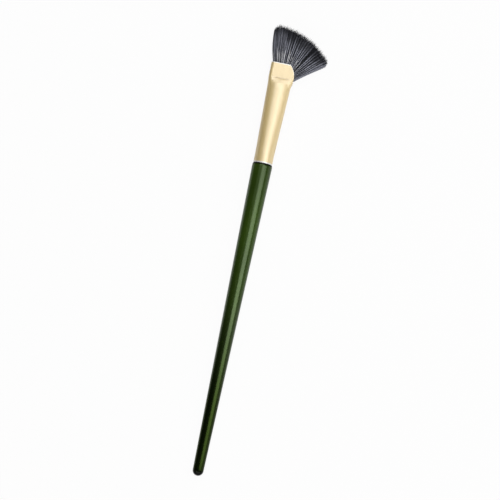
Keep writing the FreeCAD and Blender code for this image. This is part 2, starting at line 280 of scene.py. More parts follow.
class Nodes:
    """A short way to write a material's nodes and links."""

    def __init__(self, name: str) -> None:
        """Make an empty material with its surface shader.

        Args:
            name: the material's name.
        """
        self.material = bpy.data.materials.new(name)
        self.material.use_nodes = True
        self.tree = self.material.node_tree
        self.shader = self.tree.nodes["Principled BSDF"]

    def add(self, kind: str, inputs: dict | None = None, **settings: object) -> bpy.types.Node:
        """Add a node.

        Args:
            kind: the node's type name.
            inputs: socket name or number to a value, or to an output socket to link from.
            settings: the node's own properties.

        Returns:
            The new node.
        """
        node = self.tree.nodes.new(kind)
        for key, value in settings.items():
            setattr(node, key, value)
        for key, value in (inputs or {}).items():
            self.feed(node.inputs[key], value)
        return node

    def feed(self, socket: Socket, value: object) -> None:
        """Link an output to a socket, or set the socket's own value.

        Args:
            socket: the input.
            value: an output socket, or a plain value.
        """
        if isinstance(value, Socket):
            self.tree.links.new(value, socket)
        else:
            socket.default_value = value

    def maths(self, operation: str, *values: object) -> Socket:
        """The result of a Math node on values or sockets."""
        return self.add("ShaderNodeMath", dict(enumerate(values)), operation=operation).outputs[0]

    def span(self, value: object, low: float, high: float,
             start: float = 0.0, end: float = 1.0) -> Socket:
        """A smooth step of a value: start at low, end at high."""
        inputs = {"Value": value, "From Min": low, "From Max": high, "To Min": start, "To Max": end}
        return self.add("ShaderNodeMapRange", inputs, interpolation_type="SMOOTHSTEP").outputs["Result"]

    def blend(self, share: object, first: object, second: object) -> Socket:
        """Two colours mixed by a share: the Mix node's colours go in at 6 and 7 and come out at 2.

        Args:
            share: 0 for the first to 1 for the second.
            first: a colour or a socket.
            second: a colour or a socket.

        Returns:
            The mixed colour.
        """
        node = self.add("ShaderNodeMix", data_type="RGBA")
        for number, value in ((0, share), (6, first), (7, second)):
            self.feed(node.inputs[number], value)
        return node.outputs[2]

    def noise(self, where: object, scale: float, detail: float = 2.0, roughness: float = 0.5) -> Socket:
        """The height of a noise texture at a place."""
        inputs = {"Vector": where, "Scale": scale, "Detail": detail, "Roughness": roughness}
        return self.add("ShaderNodeTexNoise", inputs).outputs["Fac"]

    def stored(self, name: str) -> Socket:
        """A number that the mesh stores for each point."""
        return self.add("ShaderNodeAttribute", attribute_name=name).outputs["Fac"]

    def place(self, axes: BrushAxes, along: float = 1.0) -> Socket:
        """Object coordinates turned into the brush's own axes, with their stations times a factor.

        Args:
            axes: where the brush lies.
            along: the factor; below 1 a pattern is drawn out lengthways.

        Returns:
            The turned coordinates.
        """
        turn = Matrix((axes.across, axes.along, axes.up)).to_euler()
        where = self.add("ShaderNodeTexCoord").outputs["Object"]
        turned = self.add("ShaderNodeMapping", {"Vector": where, "Rotation": turn}).outputs[0]
        return self.add("ShaderNodeMapping", {"Vector": turned, "Scale": (1.0, along, 1.0)}).outputs[0]

    def bump(self, height: object, strength: float, distance: float) -> Socket:
        """A normal from a height."""
        inputs = {"Height": height, "Strength": strength, "Distance": distance}
        return self.add("ShaderNodeBump", inputs).outputs[0]

    def dress(self, sockets: dict) -> bpy.types.Material:
        """Feed the surface shader's sockets by name and hand the finished material over.

        Args:
            sockets: the shader's socket names to values or output sockets.

        Returns:
            The material.
        """
        for name, value in sockets.items():
            self.feed(self.shader.inputs[name], value)
        return self.material


@dataclass(frozen=True)
class GreenLacquer:
    """Deep green pearl lacquer under a clear gloss coat, all pearl and nearly black towards the tail.

    Stations are metres from the tail tip: the cap of the tail is near black, and the last of the
    shoulder is painted near black without coat, a painted shade line at the joint. Colour, pearl and
    coat change between the tail and the grip, the colour darkening towards the tail as painted shade.
    """

    deep: tuple = (0.014, 0.032, 0.0015, 1.0)
    full: tuple = (0.033, 0.076, 0.0035, 1.0)
    bright: tuple = (0.048, 0.092, 0.0045, 1.0)
    # painted shade: the darker olive colour that the tail end is painted
    painted_tail_shade: tuple = (0.0178, 0.0355, 0.0006, 1.0)
    # edge: near black, on the tail's cap and, as painted shade, on the last of the shoulder at the joint
    edge: tuple = (0.0012, 0.0016, 0.0008, 1.0)
    shoulder: tuple = (0.1213, 0.1218)
    cap: tuple = (0.0008, 0.0030)
    colour_change: tuple = (0.026, 0.092)
    coat_change: tuple = (0.020, 0.068)
    coat_tail: float = 0.28
    coat_roughness: float = 0.21
    coat_ior: float = 1.4
    pearl_tail: float = 1.0
    pearl_head: float = 0.34
    roughness: float = 0.22
    speck_scale: float = 5200.0
    cloud_scale: float = 210.0
    cloud_share: float = 0.6
    flow_scale: float = 900.0
    flow_height: float = 0.00002

    def material(self, axes: BrushAxes) -> bpy.types.Material:
        """The lacquer: less pearl and more coat towards the head, faint flow marks, fine pearl specks.

        Args:
            axes: where the brush lies.

        Returns:
            The material.
        """
        nodes = Nodes("green_lacquer_gloss")
        along = nodes.add("ShaderNodeSeparateXYZ", {0: nodes.place(axes)}).outputs[1]
        tail = float(axes.origin @ axes.along)

        def between(stations: tuple, start: float = 0.0, end: float = 1.0) -> Socket:
            """A smooth step between two stations."""
            return nodes.span(along, tail + stations[0], tail + stations[1], start, end)

        specks = nodes.noise(nodes.place(axes, 0.5), self.speck_scale)
        cloud = nodes.noise(nodes.place(axes, 0.22), self.cloud_scale, 3.0)
        flow = nodes.noise(nodes.place(axes, 0.35), self.flow_scale, 1.0)
        colour = nodes.blend(nodes.span(specks, 0.42, 0.68), self.full, self.bright)
        colour = nodes.blend(nodes.span(cloud, 0.3, 0.75, 0.0, self.cloud_share), colour, self.deep)
        # painted shade: the colour darkens to olive towards the tail, where less light falls
        colour = nodes.blend(between(self.colour_change), self.painted_tail_shade, colour)
        colour = nodes.blend(between(self.cap), self.edge, colour)
        # painted shade: the last of the shoulder goes near black and loses its coat, a dark line at the
        # joint
        joint_shade = between(self.shoulder)
        coat = nodes.maths("SUBTRACT", between(self.coat_change, self.coat_tail, 1.0), joint_shade)
        return nodes.dress({
            "Base Color": nodes.blend(joint_shade, colour, self.edge),
            "Metallic": between(self.colour_change, self.pearl_tail, self.pearl_head),
            "Roughness": self.roughness, "Specular IOR Level": 0.0, "Coat Weight": coat,
            "Coat Roughness": self.coat_roughness, "Coat IOR": self.coat_ior,
            "Coat Normal": nodes.bump(flow, 0.06, self.flow_height),
        })


@dataclass(frozen=True)
class GoldAluminium:
    """Champagne gold anodised aluminium, satin, with drawing lines and a bare cut edge, a painted
    highlight.
    """

    body: tuple = (0.90, 0.685, 0.29, 1.0)
    shade: tuple = (0.82, 0.60, 0.23, 1.0)
    # edge: near white on the rims, a bare cut edge with a painted highlight
    edge: tuple = (0.98, 0.96, 0.90, 1.0)
    # painted shade along the crease at the crimp line
    crease_with_shade: tuple = (0.50, 0.35, 0.19, 1.0)
    metal: float = 0.30
    roughness: float = 0.50
    film: float = 1.0
    film_ior: float = 2.8
    film_roughness: float = 0.36
    line_scale: float = 5200.0
    line_height: float = 0.00001
    band_scale: float = 900.0

    def material(self, axes: BrushAxes) -> bpy.types.Material:
        """The metal: fine lengthwise lines in colour and height, and the rims painted near white as a
        highlight.

        Args:
            axes: where the brush lies.

        Returns:
            The material.
        """
        nodes = Nodes("gold_aluminium_satin")
        lines = nodes.noise(nodes.place(axes, 0.02), self.line_scale, 3.0, 0.6)
        bands = nodes.noise(nodes.place(axes, 0.035), self.band_scale)
        tone = nodes.blend(nodes.span(bands, 0.3, 0.72, 0.0, 0.35), self.body, self.shade)
        tone = nodes.blend(nodes.span(lines, 0.35, 0.7, 0.0, 0.22), tone, self.shade)
        # painted shade: the stored crease share darkens the colour along the crease
        tone = nodes.blend(nodes.stored("crease_with_shade"), tone, self.crease_with_shade)
        # painted highlight: the stored rim share turns the colour near white at the edges
        return nodes.dress({
            "Base Color": nodes.blend(nodes.stored("rim"), tone, self.edge), "Metallic": self.metal,
            "Roughness": nodes.span(lines, 0.3, 0.7, self.roughness - 0.04, self.roughness + 0.06),
            "Coat Weight": self.film, "Coat Roughness": self.film_roughness, "Coat IOR": self.film_ior,
            "Normal": nodes.bump(lines, 0.12, self.line_height),
        })


@dataclass(frozen=True)
class CuredGlue:
    """Amber cured glue, glossy and a little cloudy."""

    clear: tuple = (0.72, 0.60, 0.36, 1.0)
    cloudy: tuple = (0.60, 0.45, 0.22, 1.0)
    cloud_scale: float = 420.0
    bubble_scale: float = 1300.0
    bubble_depth: float = 0.00008
    roughness: float = 0.2
    gloss: float = 0.4

    def material(self, axes: BrushAxes) -> bpy.types.Material:
        """The glue: clouds and a few small bubbles near its surface.

        Args:
            axes: where the brush lies.

        Returns:
            The material.
        """
        nodes = Nodes("cured_glue_gloss")
        where = nodes.place(axes)
        cloud = nodes.span(nodes.noise(where, self.cloud_scale, 4.0), 0.3, 0.7)
        bubbles = nodes.add("ShaderNodeTexVoronoi", {"Vector": where, "Scale": self.bubble_scale})
        pits = nodes.span(bubbles.outputs["Distance"], 0.05, 0.22)
        return nodes.dress({
            "Base Color": nodes.blend(cloud, self.clear, self.cloudy), "Roughness": self.roughness,
            "Coat Weight": self.gloss, "Normal": nodes.bump(pits, 0.3, self.bubble_depth),
        })


@dataclass(frozen=True)
class DarkFilament:
    """Black synthetic filament: a grey painted sheen for most of its length, almost black at the tip."""

    # painted sheen: grey stands for the light on the black filaments, gap for the shade between locks
    painted_sheen: tuple = (0.385, 0.395, 0.465, 1.0)
    painted_gap_shade: tuple = (0.0068, 0.0080, 0.0125, 1.0)
    tip: tuple = (0.0066, 0.0073, 0.0130, 1.0)
    end: tuple = (0.030, 0.029, 0.020, 1.0)
    end_from: float = 0.94
    end_share: float = 0.7
    roughness: float = 0.40
    specular: float = 0.35
    streak_scale: float = 2600.0
    streak_tones: tuple = (0.7, 1.3)

    def material(self, axes: BrushAxes) -> bpy.types.Material:
        """The filament: painted sheen and shade by lock, its dipped tip by the run stored along it, fine
        streaks.

        Args:
            axes: where the brush lies.

        Returns:
            The material.
        """
        nodes = Nodes("dark_filament_satin")
        run, tone, dip = (nodes.stored(name) for name in ("run", "tone", "dip"))
        streak = nodes.noise(nodes.place(axes, 0.2), self.streak_scale)
        # painted sheen and shade: the lock's tone and the streaks mix the gap shade and the grey sheen
        sheen_share = nodes.maths("MULTIPLY", tone, nodes.span(streak, 0.3, 0.7, *self.streak_tones))
        colour = nodes.blend(dip, nodes.blend(sheen_share, self.painted_gap_shade, self.painted_sheen), self.tip)
        last = nodes.span(run, self.end_from, 1.0, 0.0, self.end_share)
        return nodes.dress({
            "Base Color": nodes.blend(last, colour, self.end), "Roughness": self.roughness,
            "Specular IOR Level": self.specular,
        })


@dataclass
class Handle:
    """The turned handle: a round tail, a straight taper, a crowned shoulder, a seat and a tenon."""

    length: float = 122.2
    tail_radius: float = 2.075
    shoulder_radius: float = 3.9
    crown: float = 2.0
    seat_radius: float = 3.60
    tenon: tuple = ((3.27, 0.0), (3.27, 3.2), (2.72, 11.0), (2.22, 11.5))
    around: int = 128
    tail_steps: int = 28
    taper_steps: int = 40
    crown_steps: int = 22

    def profile(self) -> Array:
        """Radius and station from the tail tip to the tenon's end, as the turned form's half section.

        Returns:
            Points, n by 2. The tail is an arc that meets the taper without a corner, the crown is an
            arc that leaves the taper the same way and ends on the rim of the seat.
        """
        reach = self.length - self.tail_radius
        taper = math.atan2(self.shoulder_radius, reach) - math.asin(
            self.tail_radius / math.hypot(self.shoulder_radius, reach))
        turn = np.linspace(0.0, math.pi / 2 - taper, self.tail_steps)
        tail = np.stack((self.tail_radius * np.sin(turn), self.tail_radius * (1 - np.cos(turn))), 1)
        outward = np.array((math.cos(taper), -math.sin(taper)))
        side = np.array((math.sin(taper), math.cos(taper)))
        end = tail[-1]
        seat = np.array((self.seat_radius, self.length))
        depth = (end - seat) @ outward
        run = (seat - end) @ side
        start = end + side * (run - math.sqrt(self.crown ** 2 - (self.crown - depth) ** 2))
        centre = start - outward * self.crown
        from_turn = math.atan2(-outward[1], outward[0])
        to_turn = math.atan2(seat[1] - centre[1], seat[0] - centre[0])
        arc = np.linspace(-from_turn, to_turn, self.crown_steps)
        crown = centre + self.crown * np.stack((np.cos(arc), np.sin(arc)), 1)
        straight = mix(end[None], start[None], np.linspace(0, 1, self.taper_steps)[1:-1, None])
        tenon = np.array([(radius, self.length + station) for radius, station in self.tenon])
        return np.concatenate((tail, straight, crown, tenon))

    def make(self, axes: BrushAxes, lacquer: GreenLacquer) -> None:
        """Turn the profile about the brush's axis and close it at both poles.

        Args:
            axes: where the brush lies.
            lacquer: the handle's finish.
        """
        profile = self.profile()[1:]
        rings = Mesher.turned(profile[:, 0], profile[:, 1], self.around)[..., [0, 2, 1]] * (1, 1, -1)
        poles = np.array(((0, 0, 0), (0, profile[-1, 1], 0)), float)
        points = axes.place(np.concatenate((rings.reshape(-1, 3), poles)))
        body = Mesher.loops(len(profile), self.around, False)
        below = Mesher.fan(len(points) - 2, 0, self.around)[:, [0, 2, 1]]
        above = Mesher.fan(len(points) - 1, (len(profile) - 1) * self.around, self.around)
        caps = np.concatenate((below, above))
        piece = Mesher.build("handle_lacquered", points, body, caps)
        piece.data.materials.append(lacquer.material(axes))
        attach(piece, BODY)
        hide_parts("handle")
        LOG.info("handle: %d faces", len(piece.data.polygons))


@dataclass
class Ferrule:
    """The drawn tube: a round collar, a body that flattens, a shoulder and a flat, corner-cut mouth.

    Widening, thinning and sharpening are how far the press has come at each of the shares of the
    shoulder. A rim says where its bare edge, painted near white as a highlight, begins to fade, and over
    what length. Even rings start and end that far from the tube's ends, with the steps of collar, body
    and press.
    """

    start: float = Handle.length
    length: float = 39.8
    tube_radius: float = 3.65
    wall: float = 0.35
    collar: float = 3.5
    crimp_from_mouth: float = 5.7
    shoulder: float = 3.8
    oval_half_width: float = 4.45
    oval_half: float = 2.65
    oval_fold: float = 1.9
    pressed_left: float = 4.72
    pressed_right: float = 5.55
    pressed_half: float = 1.25
    widening: tuple = (0.0, 0.2, 0.5, 0.82, 1.0)
    thinning: tuple = (0.0, 0.16, 0.45, 0.74, 1.0)
    sharpening: tuple = (0.0, 0.1, 0.3, 0.6, 1.0)
    shares: tuple = (0.0, 0.35, 0.6, 0.82, 1.0)
    cut_start: float = 2.75
    cut_depth: float = 5.4
    cut_side: float = 4.99
    edge_round: float = 0.11
    edge_steps: int = 6
    crease_depth: float = 0.05
    crease_width: float = 0.22
    crease_back: float = 0.12
    crease_ends: tuple = (-3.5, 4.1)
    crease_fade: float = 1.6
    crease_shade_tone: float = 0.55
    rim_at_mouth: tuple = (0.20, 0.22)
    rim_at_collar: tuple = (0.42, 0.16)
    squeeze_from: float = 149.0
    collar_rings: tuple = (0.24, 0.34, 0.44, 0.54)
    even_rings: tuple = (0.7, 0.45)
    even_steps: tuple = (8, 46, 64)
    mouth_rings: tuple = (-0.3, -0.2)
    cut_steps: int = 46
    place_steps: tuple = (25, 45, 31)
    side_search: float = 4.0
    halvings: int = 30

    @property
    def mouth(self) -> float:
        """Station of the mouth."""
        return self.start + self.length

    @property
    def crimp(self) -> float:
        """Station of the line where the pressed flat begins."""
        return self.mouth - self.crimp_from_mouth

    @property
    def oval(self) -> float:
        """Station where the body ends and the shoulder begins."""
        return self.crimp - self.shoulder

    def cut_radius(self) -> float:
        """Radius of the corner cut, from its start on the mouth and its foot on the side."""
        run = self.cut_side - self.cut_start
        return (run ** 2 + self.cut_depth ** 2) / (2 * run)

    @staticmethod
    def face_turn(reach: Array, half: Array, fold: Array) -> Array:
        """Half the turn of a face that runs into both of its folds without a corner.

        Args:
            reach: from the middle of the section to a fold's centre.
            half: half thickness.
            fold: fold radius.

        Returns:
            The angle of the tangent: twice reach times spare, over reach squared plus half squared less
            fold squared less twice spare times half. Spare is half less fold.
        """
        spare = np.maximum(half - fold, 0)
        return np.arctan2(reach * 2 * spare, reach ** 2 + half ** 2 - fold ** 2 - 2 * spare * half)

    def section(self, at: Array, inset: float) -> tuple:
        """The five sizes of the section: mixed evenly up to the oval, then pressed by the shares.

        Args:
            at: stations along the brush.
            inset: how far inside the outer surface.

        Returns:
            Left and right reach, half thickness, fold radius, and half the turn of the faces.
        """
        share = np.clip((at - self.start - self.collar) / (self.oval - self.start - self.collar), 0, 1)
        press = (at - self.oval) / self.shoulder
        widen, thin, sharpen = (through_knots(press, self.shares, steps)
                                for steps in (self.widening, self.thinning, self.sharpening))
        half_width = mix(self.tube_radius, self.oval_half_width, share)
        left = mix(half_width, self.pressed_left, widen)
        right = mix(half_width, self.pressed_right, widen)
        half = mix(mix(self.tube_radius, self.oval_half, share), self.pressed_half, thin)
        fold = mix(mix(self.tube_radius, self.oval_fold, share), self.pressed_half, sharpen)
        oval_turn = self.face_turn(self.oval_half_width - self.oval_fold, self.oval_half, self.oval_fold)
        turn = np.where(press > 0, self.face_turn((left + right) / 2 - fold, half, fold), oval_turn)
        return left - inset, right - inset, half - inset, fold - inset, turn

    def surface(self, place: Array, at: Array, inset: float) -> Array:
        """Points of the tube's upper half.

        Args:
            place: position round it: up the left fold, over the face from 1, down the right fold to 3.
            at: stations, of the same shape.
            inset: how far inside the outer surface.

        Returns:
            Points. A fold is an arc about its centre, and the face is the arc through its two ends and
            its middle: its drop is x squared times the curvature over one plus the root of one less
            the square of x times the curvature.
        """
        left, right, half, fold, turn = self.section(at, inset)
        middle, reach = (right - left) / 2, (right + left) / 2 - fold
        left_angle = mix(math.pi, math.pi / 2 + turn, np.clip(place, 0, 1))
        right_angle = mix(math.pi / 2 - turn, 0.0, np.clip(place - 2, 0, 1))
        join, sag = reach + fold * np.sin(turn), half - fold * np.cos(turn)
        bend = 2 * sag / (join ** 2 + sag ** 2)
        over = join * (2 * np.clip(place - 1, 0, 1) - 1)
        drop = over ** 2 * bend / (1 + np.sqrt(np.maximum(1 - (over * bend) ** 2, 0)))
        x = np.where(place < 1, fold * np.cos(left_angle) - reach,
                     np.where(place > 2, fold * np.cos(right_angle) + reach, over))
        z = np.where(place < 1, fold * np.sin(left_angle),
                     np.where(place > 2, fold * np.sin(right_angle), half - drop))
        return np.stack((middle + x, at + 0 * x, z), -1)

    def end(self, place: Array, inset: float) -> Array:
        """Station where each line of the tube ends: on the mouth, on the corner cut or on the side cut.

        Args:
            place: positions round the half section.
            inset: how far inside the outer surface.

        Returns:
            Stations. Where the pressed tube is wider than the side cut, the end is found by halving.
        """
        radius = self.cut_radius()
        centre = self.cut_side - radius
        x = self.surface(place, np.full_like(place, self.mouth), inset)[..., 0]
        rise = np.sqrt(np.maximum(radius ** 2 - (x - centre) ** 2, 0))
        cut = np.where(x > self.cut_start, self.mouth - self.cut_depth + rise, self.mouth)
        low, high = np.full_like(place, self.oval - self.side_search), np.full_like(place, self.crimp)
        for _ in range(self.halvings):
            half_way = (low + high) / 2
            wide = self.surface(place, half_way, inset)[..., 0] > self.cut_side
            low, high = np.where(wide, low, half_way), np.where(wide, half_way, high)
        return np.where(x > self.cut_side, low, np.minimum(cut, self.mouth))

    def places(self) -> Array:
        """Positions round the half section, closer together along the corner cut.

        Returns:
            Positions as surface() takes them, rising from 0 to 3.
        """
        radius = self.cut_radius()
        station = np.linspace(self.mouth, self.mouth - self.cut_depth, self.cut_steps)
        x = self.cut_side - radius + np.sqrt(radius ** 2 - (station - self.mouth + self.cut_depth) ** 2)
        left_end = self.pressed_half - self.pressed_left
        right_end = self.pressed_right - self.pressed_half
        angle = np.arccos(np.clip((x - right_end) / self.pressed_half, 0, 1))
        over_face = 1 + (x - left_end) / (right_end - left_end)
        along_cut = np.where(x < right_end, over_face, 3 - angle / (math.pi / 2))
        even = np.concatenate([np.linspace(part, part + 1, steps)
                               for part, steps in enumerate(self.place_steps)])
        near = (even > along_cut.min()) & (even < along_cut.max())
        rounded = np.sort(np.concatenate((even[~near], along_cut)))
        return rounded[np.concatenate(([True], np.diff(rounded) > 1e-5))]

    @staticmethod
    def both_halves(upper: Array) -> Array:
        """Values of the upper half, and the same again below in the other order, but for the ends."""
        return np.concatenate((upper, upper[-2:0:-1]))

    def ring(self, place: Array, station: float, inset: float, onward: float) -> tuple:
        """One ring of the wall, which follows the cut more and more towards the mouth.

        Args:
            place: positions round the half section.
            station: the ring's station where the tube isn't cut.
            inset: how far inside the outer surface.
            onward: how far past that station.

        Returns:
            The ring's points, and each one's share of rim highlight and of crease shade, both painted.
        """
        end = self.end(place, inset)
        share = max(0.0, (station - self.squeeze_from) / (self.mouth - self.squeeze_from))
        at = station + (end - self.mouth) * share + onward
        upper = self.surface(place, at, inset)
        x = upper[:, 0]
        # the crease's profile: a shallow dent outside, and painted shade in the finish
        left, right = self.crease_ends
        line = np.exp(-((at - self.crimp + self.crease_back) / self.crease_width) ** 2)
        crease_with_shade = ease((x - left) / self.crease_fade) * ease((right - x) / self.crease_fade) * line
        if inset < self.wall / 2:
            upper[:, 2] -= self.crease_depth * crease_with_shade * np.sign(upper[:, 2])
        # painted highlight: the rim share is full at the mouth's and collar's edges and fades away from
        # them
        (mouth_from, mouth_fade), (collar_from, collar_fade) = self.rim_at_mouth, self.rim_at_collar
        rim = np.maximum(1 - ease((end - at - mouth_from) / mouth_fade),
                         1 - ease((at - self.start - collar_from) / collar_fade))
        points = self.both_halves(upper)
        points[len(upper):, 2] *= -1
        return points, self.both_halves(rim), self.both_halves(crease_with_shade)

    def make(self, axes: BrushAxes, gold: GoldAluminium) -> None:
        """Carry the section along the tube: outside, round the mouth's rim, inside, round the collar's.

        Args:
            axes: where the brush lies.
            gold: the ferrule's finish.
        """
        place = self.places()
        (from_collar, from_mouth), (collar, body, press) = self.even_rings, self.even_steps
        stations = np.concatenate((
            self.start + np.array(self.collar_rings),
            np.linspace(self.start + from_collar, self.start + self.collar, collar),
            np.linspace(self.start + self.collar, self.oval, body)[1:],
            np.linspace(self.oval, self.mouth - from_mouth, press)[1:]))
        turn = np.linspace(0, math.pi / 2, self.edge_steps)
        rim_in, rim_back = self.edge_round * (1 - np.cos(turn)), self.edge_round * (1 - np.sin(turn))
        rim = [(inset, -back) for inset, back in zip(rim_in, rim_back)]
        rim += [(self.wall - inset, -back) for inset, back in zip(rim_in[::-1], rim_back[::-1])]
        plan = [(station, 0.0, 0.0) for station in stations]
        plan += [(self.mouth, 0.0, onward) for onward in self.mouth_rings]
        plan += [(self.mouth, inset, onward) for inset, onward in rim]
        plan += [(self.mouth, self.wall, self.mouth_rings[0])]
        plan += [(station, self.wall, 0.0) for station in stations[::-2]]
        plan += [(self.start - onward, inset, 0.0) for inset, onward in rim[::-1]]
        rings = [self.ring(place, *row) for row in plan]
        points, rim_highlights, crease_shades = (np.stack(values) for values in zip(*rings))
        faces = Mesher.loops(points.shape[0], points.shape[1], True)
        piece = Mesher.build("ferrule_gold", axes.place(points).reshape(-1, 3), faces)
        # the rim's bare edge and painted highlight, stored for the finish
        Mesher.attribute(piece, "rim", rim_highlights)
        # painted shade along the crease, stored for the finish
        Mesher.attribute(piece, "crease_with_shade", crease_shades * self.crease_shade_tone)
        piece.data.materials.append(gold.material(axes))
        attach(piece, BODY)
        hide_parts("ferrule")
        LOG.info("ferrule: %d faces", len(piece.data.polygons))


@dataclass(frozen=True)
class Run:
    """One run of a line in the brush's plane: an arc that stands out by bulge from its chord."""

    start: tuple
    end: tuple
    bulge: float = 0.0

    def shape(self) -> tuple:
        """Chord length, radius and half the turn of the arc; a straight run is an arc of huge radius.

        Returns:
            The three numbers, in millimetres and radians.
        """
        chord = math.dist(self.start, self.end)
        bulge = self.bulge or chord * 1e-6
        radius = (chord ** 2 / 4 + bulge ** 2) / (2 * bulge)
        return chord, radius, math.asin(chord / 2 / radius)

    def length(self) -> float:
        """Length along the arc."""
        _, radius, half_turn = self.shape()
        return radius * 2 * half_turn

    def at(self, share: Array) -> Array:
        """Points at shares of the arc: along the chord by sine, out from it by cosine less its least.

        Args:
            share: 0 at the start to 1 at the end.

        Returns:
            Points, with one more axis of 2.
        """
        chord, radius, half_turn = self.shape()
        start, end = np.asarray(self.start), np.asarray(self.end)
        forward = (end - start) / chord
        normal = np.array((-forward[1], forward[0]))
        turn = half_turn * (2 * share - 1)
        out = radius * (np.cos(turn) - math.cos(half_turn))
        return (start + end) / 2 + radius * np.sin(turn)[..., None] * forward + out[..., None] * normal


@dataclass(frozen=True)
class Filaments:
    """What is drawn by lot for each filament.

    Its place across and through the fan, the same for its lock, its tone of painted sheen and shade, how
    much later than others it turns dark, its reach, and its straying to both sides.
    """

    across: Array
    layer: Array
    lock_across: Array
    lock_layer: Array
    tone: Array
    dip: Array
    reach: Array
    stray: Array


